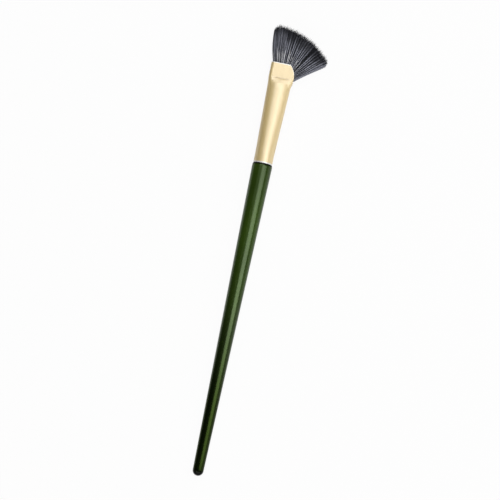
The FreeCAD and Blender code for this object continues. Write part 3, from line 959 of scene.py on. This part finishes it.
@dataclass
class FilamentFan:
    """The head: thin filaments in locks that leave the corner-cut mouth and sweep out to one side.

    Swelling, tapering and gathering are curves: runs, then the thickness, the radius or the pull to the
    lock there. Sheen tones are the ends that the painted sheen of light and dark locks is drawn between,
    then those of the plain side. Dips are where the dark begins on the left and further right, and how
    much later at the corner.
    The dip's spread is a lock's, then a filament's own. The reaches are most of the fan's, then its
    corner's. A lock's shift is across, then through the fan, and the low bow is sideways, then
    lengthways. The plain side is given by where it ends and over what width.
    """

    ferrule: Ferrule
    exit_left: float = 4.22
    exit_recess: float = 0.15
    exit_low: float = 6.35
    clear_ends: tuple = (-3.47, 4.3)
    clear_half: float = 0.84
    clear_least: float = 0.42
    tips: tuple = (((-6.2, 11.6), (-3.8, 14.6), 0.8), ((-3.8, 14.6), (15.75, 5.5), 2.15),
                   ((15.75, 5.5), (16.1, 2.2), 0.5))
    crowding: float = 1.1
    left_bow: float = 0.4
    low_bow: tuple = (0.15, 0.2)
    longest: float = 1.03
    root_ends: tuple = (-3.5, 3.7)
    root_depth: float = 9.5
    half_thickness: float = 1.72
    side_thinning: float = 0.35
    swelling: tuple = ((0, 0.12, 0.3, 0.64, 0.87, 1), (0, 0.36, 0.72, 1.0, 0.92, 0.7))
    filaments: int = 9600
    radius: float = 0.05
    tapering: tuple = ((-1, 0.55, 0.9, 1), (1.0, 1.0, 0.62, 0.16))
    lock_columns: int = 54
    lock_layers: int = 3
    gathering: tuple = ((-1, 0, 0.3, 0.7, 1), (0.1, 0.55, 0.80, 0.70, 0.25))
    straying: float = 0.0045
    # painted sheen: tone ranges of light and dark locks, then of the plain side
    sheen_tones: tuple = ((1.0, 1.85), (0.0, 0.12), (0.40, 0.62), (0.17, 0.36))
    odd_locks: float = 0.13
    own_tones: tuple = (0.7, 1.3)
    # painted shade: the tone of filaments deep in the fan
    core_shade: float = 0.15
    lock_shift: tuple = (0.32, 0.3)
    lock_flatness: float = 1.6
    outermost: float = 0.97
    plain_side: tuple = (0.42, 0.2)
    dip_spread: tuple = (0.06, 0.03)
    corner_from: float = 0.84
    reach_middle: tuple = (0.915, 0.945)
    reach_spread: tuple = (0.048, 0.034)
    reach_most: tuple = (1.03, 1.005)
    reach_least: float = 0.74
    dips: tuple = (0.80, 0.59, 0.09)
    sparse_from: float = 0.94
    rings: tuple = (-1.0, -0.35, 0.0, 0.12, 0.28, 0.46, 0.64, 0.8, 0.92, 1.0)
    lowest: float = 0.00002
    seed: int = 7
    random: np.random.Generator = field(init=False)

    def __post_init__(self) -> None:
        """Start the fan's own seeded random numbers."""
        self.random = np.random.default_rng(self.seed)

    def line(self, runs: tuple, share: Array) -> Array:
        """Points at shares of the length of several runs, one after another.

        Args:
            runs: the runs in order.
            share: 0 at the first one's start to 1 at the last one's end.

        Returns:
            Points, with one more axis of 2.
        """
        lengths = np.array([run.length() for run in runs])
        starts = np.concatenate(([0.0], np.cumsum(lengths)))
        distance = np.clip(share, 0.0, 1.0) * starts[-1]
        result = runs[-1].at((distance - starts[-2]) / lengths[-1])
        for run, start, length in list(zip(runs, starts, lengths))[:-1]:
            here = (distance >= start) & (distance < start + length)
            result = np.where(here[..., None], run.at((distance - start) / length), result)
        return result

    def exits(self, share: Array) -> Array:
        """Where filaments leave the ferrule: along the mouth, round the corner cut and down the side.

        Args:
            share: 0 at the left end to 1 at the low end.

        Returns:
            Points from the middle of the mouth.
        """
        tube = self.ferrule
        radius = tube.cut_radius()
        centre = tube.cut_side - radius
        radius -= self.exit_recess
        rise = tube.cut_depth - self.exit_recess
        nose = (centre + math.sqrt(radius ** 2 - rise ** 2), -self.exit_recess)
        foot = (centre + radius, -tube.cut_depth)
        chord = math.dist(nose, foot)
        bulge = radius - math.sqrt(radius ** 2 - chord ** 2 / 4)
        return self.line((Run((-self.exit_left, -self.exit_recess), nose), Run(nose, foot, bulge),
                          Run(foot, (foot[0], -self.exit_low))), share)

    def opening(self, x: Array) -> Array:
        """Half the clear thickness of the pressed mouth at x, less inside its folds.

        Args:
            x: places across the mouth.

        Returns:
            Half thicknesses: within a fold, those of a circle.
        """
        left, right = self.clear_ends
        overhang = np.maximum(0, np.maximum(x - right, left - x))
        return np.sqrt(np.maximum(self.clear_half ** 2 - overhang ** 2, self.clear_least ** 2))

    def points(self, across: Array, layer: Array, run: Array) -> Array:
        """The fan as a map from its own space to millimetres.

        Args:
            across: 0 at the fan's left edge to 1 at its low edge.
            layer: -1 at the back face to 1 at the front face.
            run: 0 where the filament leaves the mouth to 1 at its tip, and to -1 at its root inside.

        Returns:
            Points. Outside, a straight ray from exit to tip with a slight bow; inside, a line that
            gathers towards the root. The thickness swells from the mouth's and thins at the tips.
        """
        exits = self.exits(across)
        edge = tuple(Run(*tip) for tip in self.tips)
        tips = self.line(edge, np.clip(across, 0, 1) ** self.crowding)
        out = np.clip(run, 0, self.longest)[..., None]
        flat = exits + (tips - exits) * out
        hump = 4 * out[..., 0] * (1 - out[..., 0])
        low_side, low_along = self.low_bow
        flat[..., 0] -= self.left_bow * (1 - across) ** 2 * hump + low_side * across ** 3 * hump
        flat[..., 1] += low_along * across ** 3 * hump
        root = np.stack((mix(*self.root_ends, across), np.full_like(across, -self.root_depth)), -1)
        flat = mix(flat, root, np.clip(-run, 0, 1)[..., None])
        swelling = np.interp(out[..., 0], *self.swelling)
        full = self.half_thickness * (1 - self.side_thinning * np.abs(2 * across - 1) ** 3)
        half = mix(self.opening(exits[..., 0]), full, swelling)
        return np.stack((flat[..., 0], self.ferrule.mouth + flat[..., 1], layer * half), -1)

    def locks(self) -> Filaments:
        """Gather the filaments into locks: each is drawn to the nearest lock's middle.

        Returns:
            What is drawn for each filament. Locks are painted light and dark by turns as a sheen,
            strongly so except on the fan's plain left side, and filaments deep in the fan are painted
            darker as shade.
        """
        rng, count = self.random, self.filaments
        columns, layers = self.lock_columns, self.lock_layers
        column, row = (grid.ravel() for grid in np.meshgrid(np.arange(columns), np.arange(layers)))
        (shift, shift_layer), (plain_to, plain_fade) = self.lock_shift, self.plain_side
        lock_across = (column + 0.5 + rng.uniform(-shift, shift, column.size)) / columns
        lock_layer = (row + 0.5 + rng.uniform(-shift_layer, shift_layer, row.size)) / layers * 2 - 1
        plain = ease((plain_to - lock_across) / plain_fade)
        # painted sheen: locks lit and dark by turns
        lit = ((column + row) % 2 == 0) ^ (rng.uniform(0, 1, column.size) < self.odd_locks)
        light, dark, plain_light, plain_dark = [rng.uniform(*ends, column.size) for ends in self.sheen_tones]
        lock_sheen = mix(np.where(lit, light, dark), np.where(lit, plain_light, plain_dark), plain)
        lock_dip = rng.normal(0.0, self.dip_spread[0], column.size)
        across = rng.uniform(0.002, 1.0, count)
        rest = 1 - self.sparse_from
        thinned = 1 - rest * np.sqrt(np.clip((1 - across) / rest, 0, 1))
        across = np.where(across > self.sparse_from, thinned, across)
        layer = np.sign(rng.uniform(-1, 1, count)) * rng.uniform(0, 1, count) ** 0.7 * self.outermost
        apart = ((across[:, None] - lock_across) * columns) ** 2 + (
            (layer[:, None] - lock_layer) * layers / self.lock_flatness) ** 2
        lock = apart.argmin(1)
        # painted shade: deeper filaments are darker, so the gaps between locks read as shade
        depth_shade = mix(self.core_shade, 1.0, ease((np.abs(layer) - 0.25) / 0.35))
        tone = np.clip(lock_sheen[lock] * rng.uniform(*self.own_tones, count) * depth_shade, 0.0, 1.8)
        dip = lock_dip[lock] + rng.normal(0, self.dip_spread[1], count)
        return Filaments(across, layer, lock_across[lock], lock_layer[lock], tone, dip,
                         self.reaches(across), rng.normal(0, 1, (2, count)))

    def reaches(self, across: Array) -> Array:
        """How far each filament reaches towards the fan's edge: a bell curve about a little less than 1.

        Args:
            across: each filament's place across the fan.

        Returns:
            Shares of the full length. The corner is fuller and more even, and stays inside its outline.
        """
        corner = ease((across - self.corner_from) / 0.1)
        spread = self.random.normal(0.0, 1.0, across.size) * mix(*self.reach_spread, corner)
        middle, most = mix(*self.reach_middle, corner), mix(*self.reach_most, corner)
        return np.clip(middle + spread, self.reach_least, most)

    def paths(self, axes: BrushAxes, drawn: Filaments, run: Array) -> Array:
        """The middle lines of all filaments, pulled to their locks and astray towards the tips.

        Args:
            axes: where the brush lies.
            drawn: what is drawn for each filament.
            run: the run at each ring of each filament.

        Returns:
            Points in the row frame, a row of them for each filament.
        """
        rings = np.array(self.rings)
        pull = np.interp(rings, *self.gathering)
        stray = ease(rings / 0.9) * self.straying
        across = mix(drawn.across[:, None], drawn.lock_across[:, None], pull)
        layer = mix(drawn.layer[:, None], drawn.lock_layer[:, None], pull * 0.8)
        across = np.clip(across + stray * drawn.stray[0][:, None], 0.0, 1.0)
        layer = layer + stray * 12 * drawn.stray[1][:, None]
        layer = np.clip(layer, -self.outermost, self.outermost)
        return axes.place(self.points(across, layer, run))

    def tubes(self, centres: Array, up: Array) -> Array:
        """Three-sided tubes about paths.

        Args:
            centres: the paths' points, one row for each filament.
            up: the direction that the fan's front faces.

        Returns:
            Three for each point: the point plus the radius times the cosine and sine of the corners'
            angles along two directions square to the path, and none below the floor.
        """
        tangent = np.gradient(centres, axis=1)
        tangent /= np.linalg.norm(tangent, axis=-1, keepdims=True)
        sideways = np.cross(tangent, up)
        sideways /= np.linalg.norm(sideways, axis=-1, keepdims=True)
        upward = np.cross(sideways, tangent)
        thickness = self.radius * MM * np.interp(self.rings, *self.tapering)
        corner = (np.arange(3) * 2 * math.pi / 3 + math.pi / 2)[:, None]
        tubes = centres[:, :, None] + thickness[None, :, None, None] * (
            np.cos(corner) * sideways[:, :, None] + np.sin(corner) * upward[:, :, None])
        tubes[..., 2] = np.maximum(tubes[..., 2], self.lowest)
        return tubes

    def colours(self, drawn: Filaments, run: Array) -> dict:
        """What the finish reads at each ring: its run, how far it is dipped, and its tone of painted
        sheen.

        Args:
            drawn: what is drawn for each filament.
            run: the run at each ring of each filament.

        Returns:
            Arrays by name. The sparse filaments at the low edge are painted light and hardly dipped.
        """
        length = np.clip(run, 0, 1)
        across, tone = drawn.across[:, None], drawn.tone[:, None]
        left, right, corner = self.dips
        start = mix(left, right, ease((across - 0.10) / 0.32)) + corner * ease((across - 0.68) / 0.2)
        start = start + drawn.dip[:, None]
        sparse = ease((across - self.sparse_from) / 0.02)
        dip = ease((length - start + 0.15) / 0.30) * (1 - 0.12 * tone) * (1 - 0.85 * sparse)
        # painted sheen: brighter towards the tip, and the sparse fringe painted light
        tone = tone * mix(0.72, 1.4, length)
        tone = np.where(across > self.sparse_from + 0.01, np.maximum(tone, 1.15), tone)
        return {"run": length, "dip": dip, "tone": tone}

    def make(self, axes: BrushAxes, finish: DarkFilament) -> None:
        """Build every filament as a thin three-sided tube along its path, one piece for each layer.

        Args:
            axes: where the brush lies.
            finish: the filaments' finish.
        """
        drawn, steps = self.locks(), len(self.rings)
        rings = np.array(self.rings)[None]
        run = np.where(rings > 0, rings * drawn.reach[:, None], rings)
        tubes = self.tubes(self.paths(axes, drawn, run), axes.up)
        colours = self.colours(drawn, run)
        for part, chosen in zip(Layer, np.array_split(np.argsort(drawn.layer), len(Layer))):
            count = len(chosen)
            base = np.arange(count)[:, None] * steps * 3
            faces = (Mesher.loops(steps, 3, False)[:, ::-1][None] + base[..., None]).reshape(-1, 4)
            last = (steps - 1) * 3
            caps = np.concatenate((base + np.array((0, 1, 2)), base + last + np.array((2, 1, 0))))
            name = f"filaments_{part.value}"
            piece = Mesher.build(name, tubes[chosen].reshape(-1, 3), faces, caps)
            for attribute, values in colours.items():
                Mesher.attribute(piece, attribute, np.repeat(values[chosen], 3, 1))
            piece.data.materials.append(finish.material(axes))
            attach(piece, BODY)
            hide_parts("bristle_tuft")
            LOG.info("%s: %d filaments, %d faces", piece.name, count, len(piece.data.polygons))


@dataclass
class Studio:
    """The pale floor with its cove, the lamps as lamp() takes them, and the camera of the photograph."""

    lens: float = 300.0
    sensor: float = 36.0
    view_width: float = 191.1
    aim: tuple = (2.05, 88.7, 0.0)
    lean: float = 11.88
    from_tail: float = 7.5
    floor_rings: tuple = (0.4, 1.2)
    floor_radius: float = 2.6
    floor_around: int = 96
    floor_below: float = 0.00002
    floor_paint: tuple = (0.86, 0.86, 0.86, 1.0)
    cove: float = 0.3
    wall: float = 0.4
    white_share: float = 0.95
    mirrored_share: float = 0.12
    sky_level: float = 0.08
    lamps: tuple = (("strip_right", 29.0, 25.0, (0.118, 0.246), 4.3),
                    ("tail_right", 40.0, 27.0, (0.030, 0.118), 2.2),
                    ("head_top", 3.0, 31.0, (0.285, 2.20), 1.97),
                    ("tail_far", 5.0, 60.0, (-3.50, -0.60), 1.6))

    @staticmethod
    def pose(place: Array, right: Array, top: Array, back: Array) -> Matrix:
        """The matrix that puts a thing at a place and turns its x, y and z to right, top and back."""
        turn = Matrix((Vector(right), Vector(top), Vector(back))).transposed()
        return Matrix.Translation(Vector(place)) @ turn.to_4x4()

    def floor(self) -> None:
        """A white floor with a rounded cove, turned about z: a disc, a quarter circle and a low wall.

        To the camera it is nearly all plain white, in mirror images a little, and the rest is lit paint,
        which keeps a faint, soft shadow.
        """
        turn, count = np.linspace(0, math.pi / 2, 9), self.floor_around
        cove = self.floor_radius + self.cove * np.sin(turn)
        radius = np.concatenate((self.floor_rings, cove, cove[-1:]))
        rise = self.cove * (1 - np.cos(turn))
        height = np.concatenate(((0.0, 0.0), rise, (self.wall,))) - self.floor_below
        grid = Mesher.turned(radius, height, count).reshape(-1, 3)
        points = np.concatenate((grid, ((0.0, 0.0, -self.floor_below),)))
        sides = Mesher.loops(len(radius), count, False)[:, ::-1]
        piece = Mesher.build("floor", points, sides, Mesher.fan(len(points) - 1, 0, count))
        nodes = Nodes("floor_white")
        ray = nodes.add("ShaderNodeLightPath").outputs
        seen = nodes.maths("MULTIPLY", ray["Is Camera Ray"], self.white_share)
        mirrored = nodes.maths("MAXIMUM", ray["Is Glossy Ray"], ray["Is Transmission Ray"])
        mirrored = nodes.maths("MULTIPLY", mirrored, self.mirrored_share)
        share = nodes.maths("MAXIMUM", seen, mirrored)
        paint = nodes.add("ShaderNodeBsdfDiffuse", {"Color": self.floor_paint}).outputs[0]
        glow = {"Color": (1.0, 1.0, 1.0, 1.0), "Strength": 1.0}
        white = nodes.add("ShaderNodeEmission", glow).outputs[0]
        both = nodes.add("ShaderNodeMixShader", {0: share, 1: paint, 2: white}).outputs[0]
        nodes.feed(nodes.tree.nodes["Material Output"].inputs["Surface"], both)
        piece.data.materials.append(nodes.material)

    def world(self) -> None:
        """An even, dim sky."""
        world = bpy.data.worlds.new("soft_sky")
        bpy.context.scene.world = world
        world.use_nodes = True
        back = world.node_tree.nodes["Background"]
        back.inputs["Color"].default_value = (1.0, 1.0, 1.0, 1.0)
        back.inputs["Strength"].default_value = self.sky_level

    def lamp(self, axes: BrushAxes, name: str, sideways: float, opening: float,
             ends: tuple[float, float], radiance: float, distance: float = 0.9) -> None:
        """One soft box whose face is parallel to the brush.

        Args:
            axes: where the brush lies.
            name: the lamp's name.
            sideways: degrees from straight above the front face to the box's middle, to the fan's side.
            opening: half the angle that the box's width fills, in degrees.
            ends: stations that the box runs from and to along the brush, in metres from the tail tip.
            radiance: how bright its face is, where 1 is white.
            distance: metres from the brush.
        """
        light = bpy.data.lights.new(name, "AREA")
        light.shape = "RECTANGLE"
        light.size = 2 * distance * math.tan(math.radians(opening))
        light.size_y = ends[1] - ends[0]
        light.energy = radiance * math.pi * light.size * light.size_y
        lamp = bpy.data.objects.new(name, light)
        bpy.context.scene.collection.objects.link(lamp)
        toward = axes.direction(sideways, 0.0)
        middle = axes.place(np.array((0.0, (ends[0] + ends[1]) / 2 / MM, 0.0)))
        lamp.matrix_world = self.pose(
            middle + toward * distance, np.cross(axes.along, toward), axes.along, toward)
        lamp.visible_camera = False

    def camera(self, axes: BrushAxes) -> None:
        """The camera: square to the front face but for a few degrees from the tail's side.

        Args:
            axes: where the brush lies.
        """
        tilt, lean = math.radians(self.from_tail), math.radians(self.lean)
        back = axes.up * math.cos(tilt) - axes.along * math.sin(tilt)
        head = axes.along * math.cos(tilt) + axes.up * math.sin(tilt)
        right = math.cos(lean) * axes.across + math.sin(lean) * head
        top = -math.sin(lean) * axes.across + math.cos(lean) * head
        data = bpy.data.cameras.new("camera")
        data.lens, data.sensor_width = self.lens, self.sensor
        data.clip_start, data.clip_end = 0.01, 20.0
        distance = self.view_width * MM * self.lens / self.sensor
        camera = bpy.data.objects.new("camera", data)
        bpy.context.scene.collection.objects.link(camera)
        place = axes.place(np.array(self.aim)) + back * distance
        camera.matrix_world = self.pose(place, right, top, back)
        bpy.context.scene.camera = camera

    def build(self, axes: BrushAxes) -> None:
        """Set up the whole studio.

        Args:
            axes: where the brush lies.
        """
        bpy.context.scene.view_settings.view_transform = "Standard"
        self.floor()
        self.world()
        for lamp in self.lamps:
            self.lamp(axes, *lamp)
        self.camera(axes)
        LOG.info("studio: floor, sky, %d soft boxes and the camera", len(self.lamps))


def main() -> None:
    """Load the part, dress it piece by piece, set the studio up and note the sizes."""
    logging.basicConfig(level=logging.INFO, format="%(name)s: %(message)s")
    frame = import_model()
    axes = BrushAxes.from_part(frame)
    LOG.info("axes: across %s along %s up %s", axes.across, axes.along, axes.up)
    Handle().make(axes, GreenLacquer())
    ferrule = Ferrule()
    ferrule.make(axes, GoldAluminium())
    glue = frame["nodes"]["glue_plug"]
    glue.data.materials.clear()
    glue.data.materials.append(CuredGlue().material(axes))
    FilamentFan(ferrule).make(axes, DarkFilament())
    Studio().build(axes)


if __name__ == "__main__":
    main()
